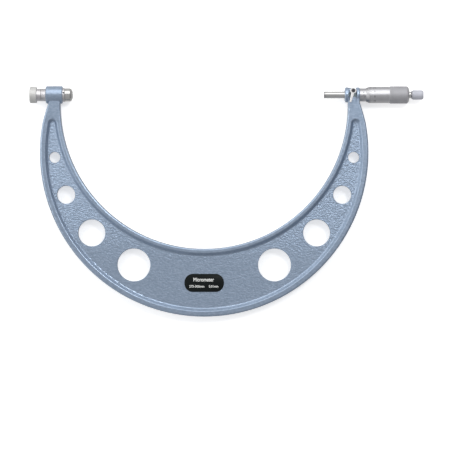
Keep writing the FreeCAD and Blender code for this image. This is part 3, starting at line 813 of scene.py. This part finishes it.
LOCK_RING_R = 7.0
LOCK_RING_BORE_R = 5.6
LOCK_RING_BEVEL = 0.4
LOCK_RING_SEGMENTS = 360
RING_GROOVES = 4
RING_GROOVE_START = 0.35
RING_GROOVE_PITCH = 0.9
RING_GROOVE_DEPTH = 0.22
RING_GROOVE_TOP_HALF = 0.3
RING_GROOVE_FLOOR_HALF = 0.1
RING_EDGE_ROUNDING = 0.05
RING_EDGE_STEPS = 2
# The slots are cut only in the ring's outside, which lies within this depth of its widest radius.
RING_SKIN = 0.5
SPANNER_SLOT_LENGTH = 1.6
SPANNER_SLOT_DEPTH = 0.8
# A slot starts at each of these turns, the middle of the CAD's slot, and covers the half beyond it.
SPANNER_SLOT_STARTS = (math.radians(-35), math.radians(-215))
SPANNER_SLOT_WIDTH = math.radians(5.7)


def lock_ring():
    """Ring nut with fine turned grooves round it and two spanner slots."""
    low, high = span("sleeve_lock_ring")
    shoulder = LOCK_RING_R - LOCK_RING_BEVEL
    floor = LOCK_RING_R - RING_GROOVE_DEPTH
    outline = [(low, LOCK_RING_BORE_R), (low, shoulder), (low + LOCK_RING_BEVEL, LOCK_RING_R)]
    for groove in range(1, RING_GROOVES + 1):
        x = low + RING_GROOVE_START + groove * RING_GROOVE_PITCH
        outline += [(x - RING_GROOVE_TOP_HALF, LOCK_RING_R), (x - RING_GROOVE_FLOOR_HALF, floor),
                    (x + RING_GROOVE_FLOOR_HALF, floor), (x + RING_GROOVE_TOP_HALF, LOCK_RING_R)]
    outline += [(high - LOCK_RING_BEVEL, LOCK_RING_R), (high, shoulder), (high, LOCK_RING_BORE_R)]

    def relief(x, r, turn):
        in_slot = any((turn - start) % FULL_TURN < SPANNER_SLOT_WIDTH for start in SPANNER_SLOT_STARTS)
        if in_slot and r > LOCK_RING_R - RING_SKIN and x < low + SPANNER_SLOT_LENGTH:
            return LOCK_RING_R - SPANNER_SLOT_DEPTH - r
        return 0
    outline = soften(outline, RING_EDGE_ROUNDING, RING_EDGE_STEPS)
    obj = lathe("lock_ring", outline, LOCK_RING_SEGMENTS, relief)
    dress(obj, SATIN_STEEL)
    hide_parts("sleeve_lock_ring")
    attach(obj, "frame")


# ---- name plate ---------------------------------------------------------------------------------
PLATE_CORNER_R = 9.3
PLATE_EDGE = 0.3
# The first of the edge's two steps goes in, and starts below the face, by this share of the whole.
FIRST_STEP = 0.3
PLATE_CORNER_STEPS = 16
PLATE_SHARP_DEGREES = 60
LETTERS_SUNK = 0.05
LETTERS_PROUD = 0.02
# Text, height of a capital, width of the line, its centre from the plate's, and how much bolder it is.
PLATE_LINES = (
    ("Micrometer", 4.1, 22.8, (-0.5, 3.7), 0.10),
    ("275-300mm", 2.6, 16.6, (-8.2, -3.8), 0.05),
    ("0.01mm", 2.6, 10.4, (10.4, -3.8), 0.05),
)


def rounded_rectangle(centre, half_x, half_y, radius, z):
    """Points round a rectangle with rounded corners, at one height."""
    points = []
    for quarter, (side_x, side_y) in enumerate(((1, 1), (-1, 1), (-1, -1), (1, -1))):
        for step in range(PLATE_CORNER_STEPS + 1):
            angle = math.radians(90) * (quarter + step / PLATE_CORNER_STEPS)
            x = centre[0] + side_x * (half_x - radius) + radius * math.cos(angle)
            y = centre[1] + side_y * (half_y - radius) + radius * math.sin(angle)
            points.append((x, y, z))
    return points


def plate_body(low, high):
    """Plate with upright sides and an edge eased in two steps."""
    centre = (low + high) / 2
    half = (high - low) / 2
    slight = FIRST_STEP * PLATE_EDGE
    layers = [(0, low.z), (0, high.z - PLATE_EDGE), (slight, high.z - slight), (PLATE_EDGE, high.z)]
    points, faces = [], []
    for inset, z in layers:
        points += rounded_rectangle(centre, half.x - inset, half.y - inset, PLATE_CORNER_R - inset, z)
    count = len(points) // len(layers)
    for layer in range(len(layers) - 1):
        a = layer * count
        for step in range(count):
            after = (step + 1) % count
            faces.append((a + step, a + after, a + count + after, a + count + step))
    faces.append(list(range(count))[::-1])
    faces.append(list(range(len(points) - count, len(points))))
    return make_mesh("plate", points, faces, PLATE_SHARP_DEGREES)


def plate_letters(low, high):
    """The plate's lines of generic lettering, standing just above its face."""
    centre = (low + high) / 2
    solids = []
    for text, height, width, (x, y), weight in PLATE_LINES:
        points, faces = thicken(flat_text(text, height, width, weight), -LETTERS_SUNK, LETTERS_PROUD)
        placed = [(centre.x + x + px, centre.y + y + py, high.z + pz) for px, py, pz in points]
        solids.append((placed, faces))
    return gather("plate_lettering", solids)


def name_plate():
    """Black enamelled plate with its bright lettering."""
    low, high = (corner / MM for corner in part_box("name_plate"))
    plate = plate_body(low, high)
    dress(plate, BLACK_PLATE)
    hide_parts("name_plate")
    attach(plate, "frame")

    lettering = plate_letters(low, high)
    dress(lettering, FIGURES)
    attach(lettering, "frame")


# ---- studio -------------------------------------------------------------------------------------
FLOOR_HALF = 3000
FLOOR_GLOW = 0.50
# Name, degrees from the zenith, azimuth from +X in degrees, distance from the object's centre, size and
# power.
SOFTBOXES = (
    ("window", 52, 94, 0.62, (1.2, 0.50), 2.3),
    ("left_strip", 62, 180, 1.1, (0.9, 0.5), 2.4),
    ("key", 30, 50, 3.0, (0.6, 0.6), 20),
)
# The room's tones run from the side away from this direction, at 0, to the side towards it, at 1.
BRIGHT_SIDE = (-0.9, 0.43, 0)
WALL_TONES = [
    (0.0, (0.25, 0.25, 0.26)), (0.285, (0.42, 0.42, 0.43)), (0.5, (0.50, 0.50, 0.51)),
    (0.75, (0.70, 0.70, 0.70)), (1.0, (1.0, 1.0, 0.98))]
TABLE_TONES = [(0.0, (0.52, 0.52, 0.52)), (0.5, (0.58, 0.58, 0.58)), (1.0, (0.90, 0.90, 0.90))]
# The table gives way to the walls between these heights of the line of sight.
HORIZON = (-0.12, 0.02)


def pale_floor():
    """Nearly white floor that glows a little, so that shadows on it stay pale."""
    material, _, shader, _ = speckled(
        "studio_floor", 3, (0.86, 0.86, 0.86), (0.89, 0.89, 0.89), detail=1.0)
    shader.inputs["Roughness"].default_value = 0.9
    shader.inputs["Specular IOR Level"].default_value = 0.1
    shader.inputs["Emission Color"].default_value = (1, 1, 1, 1)
    shader.inputs["Emission Strength"].default_value = FLOOR_GLOW
    return material


def softbox(name, polar, azimuth, distance, size, power, centre):
    """Area light at an angle from the zenith and an azimuth from +X, aimed at the centre."""
    light = bpy.data.lights.new(name, "AREA")
    light.shape = "RECTANGLE"
    light.size, light.size_y = size
    light.energy = power
    obj = bpy.data.objects.new(name, light)
    bpy.context.scene.collection.objects.link(obj)
    theta, phi = math.radians(polar), math.radians(azimuth)
    way = Vector((math.sin(theta) * math.cos(phi), math.sin(theta) * math.sin(phi), math.cos(theta)))
    obj.location = Vector(centre) + way * distance
    obj.rotation_euler = (Vector(centre) - obj.location).to_track_quat("-Z", "Y").to_euler()
    obj.visible_camera = False


def studio():
    """Pale floor under the object, three softboxes and the room."""
    low, high = cad_box
    centre = (low + high) / 2
    corners = [(-FLOOR_HALF, -FLOOR_HALF, 0), (FLOOR_HALF, -FLOOR_HALF, 0),
               (FLOOR_HALF, FLOOR_HALF, 0), (-FLOOR_HALF, FLOOR_HALF, 0)]
    floor = make_mesh("floor", corners, [(0, 1, 2, 3)])
    floor.location.z = low.z
    dress(floor, pale_floor())
    floor.visible_glossy = False
    for settings in SOFTBOXES:
        softbox(*settings, centre)
    bpy.context.scene.world = room()
    bpy.context.scene.view_settings.view_transform = "Standard"


def room():
    """World for reflections: a pale room, brighter to the left and behind than in front."""
    world = bpy.data.worlds.new("studio")
    world.use_nodes = True
    tree = world.node_tree
    direction = add_node(tree, "ShaderNodeTexCoord").outputs["Generated"]
    side = add_node(tree, "ShaderNodeVectorMath", operation="DOT_PRODUCT")
    side.inputs[1].default_value = BRIGHT_SIDE
    tree.links.new(direction, side.inputs[0])
    level = add_node(tree, "ShaderNodeMapRange")
    level.inputs["From Min"].default_value = -1
    tree.links.new(side.outputs["Value"], level.inputs["Value"])
    parts = add_node(tree, "ShaderNodeSeparateXYZ")
    tree.links.new(direction, parts.inputs["Vector"])
    above = smooth_step(tree, parts.outputs["Z"], *HORIZON, 0, 1)
    mixed = add_node(tree, "ShaderNodeMix", data_type="RGBA")
    tree.links.new(above, mixed.inputs["Factor"])
    tree.links.new(ramp(tree, level.outputs["Result"], TABLE_TONES), mixed.inputs["A"])
    tree.links.new(ramp(tree, level.outputs["Result"], WALL_TONES), mixed.inputs["B"])
    tree.links.new(mixed.outputs["Result"], tree.nodes["Background"].inputs["Color"])
    return world


CAMERA_PLACE = (0.1741, -0.1494, 2.4)
LENS = 169.8
SENSOR_WIDTH = 36


def camera():
    """Straight down over the middle of the picture, from well above."""
    data = bpy.data.cameras.new("camera")
    data.lens = LENS
    data.sensor_width = SENSOR_WIDTH
    obj = bpy.data.objects.new("camera", data)
    bpy.context.scene.collection.objects.link(obj)
    obj.location = CAMERA_PLACE
    bpy.context.scene.camera = obj


dress_cad()
thimble()
thimble_scale()
sleeve_scale()
ratchet_knob()
draw_screw()
lock_ring()
name_plate()
studio()
camera()
